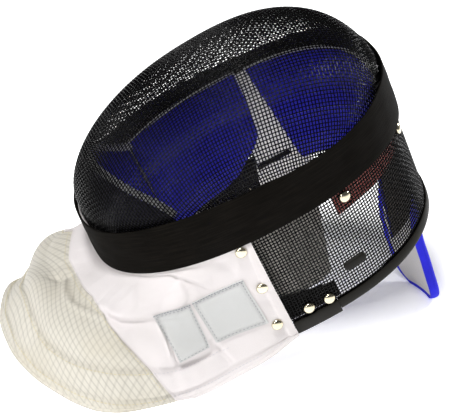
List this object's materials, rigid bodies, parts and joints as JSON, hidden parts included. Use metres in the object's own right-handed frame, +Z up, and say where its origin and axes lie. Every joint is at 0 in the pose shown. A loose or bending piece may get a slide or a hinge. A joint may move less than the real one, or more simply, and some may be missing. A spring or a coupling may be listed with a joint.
{
  "type": "fencing mask",
  "caption": "Fencing mask with domed wire face, wire sides, taped band, cloth bib with conductive front, inner padding and rear tongue, lying at rest on its bib and tongue.",
  "frame": {"origin": "middle of the bounding box's base, on the surface that the mask lies on", "axes": "+Z up, +X towards the crown and the rear tongue, -X towards the bib's front, -Y towards the wearer's left side"},
  "size_m": [0.4082, 0.2286, 0.2938],
  "materials": {
    "wire_mesh": "black lacquered woven steel wire",
    "band_tape": "black ribbed tape",
    "trim_plastic": "satin black plastic",
    "white_cloth": "white woven cloth",
    "conductive_cloth": "cream cloth with fine metal threads",
    "patch_cloth": "light grey printed-cloth blank",
    "rivet_metal": "polished nickel",
    "red_webbing": "dark red webbing",
    "black_webbing": "black webbing",
    "blue_padding": "royal blue padded cloth",
    "tongue_lining": "light grey lining cloth"
  },
  "bodies": {
    "root": {"band": "band_tape", "bib_cloth": "white_cloth", "bib_front": "conductive_cloth", "cheek_pad_left": "blue_padding", "cheek_pad_right": "blue_padding", "chin_pad": "blue_padding", "crown_pad": "blue_padding", "crown_strap": "red_webbing", "edge_trim": "trim_plastic", "face_mesh": "wire_mesh", "keeper_left": "trim_plastic", "keeper_right": "trim_plastic", "patch_front": "patch_cloth", "patch_rear": "patch_cloth", "rivet_hem_1_left": "rivet_metal", "rivet_hem_1_right": "rivet_metal", "rivet_hem_2_left": "rivet_metal", "rivet_hem_2_right": "rivet_metal", "rivet_hem_3_left": "rivet_metal", "rivet_hem_3_right": "rivet_metal", "rivet_strap_a_left": "rivet_metal", "rivet_strap_a_right": "rivet_metal", "rivet_strap_b_left": "rivet_metal", "rivet_strap_b_right": "rivet_metal", "rivet_tab_a_left": "rivet_metal", "rivet_tab_a_right": "rivet_metal", "rivet_tab_b_left": "rivet_metal", "rivet_tab_b_right": "rivet_metal", "side_mesh": "wire_mesh", "strap_tab_left": "black_webbing", "strap_tab_right": "black_webbing", "tongue_lining": "tongue_lining", "tongue_pad": "blue_padding", "trim_sleeve_left": "trim_plastic", "trim_sleeve_right": "trim_plastic"}
  },
  "joints": []
}
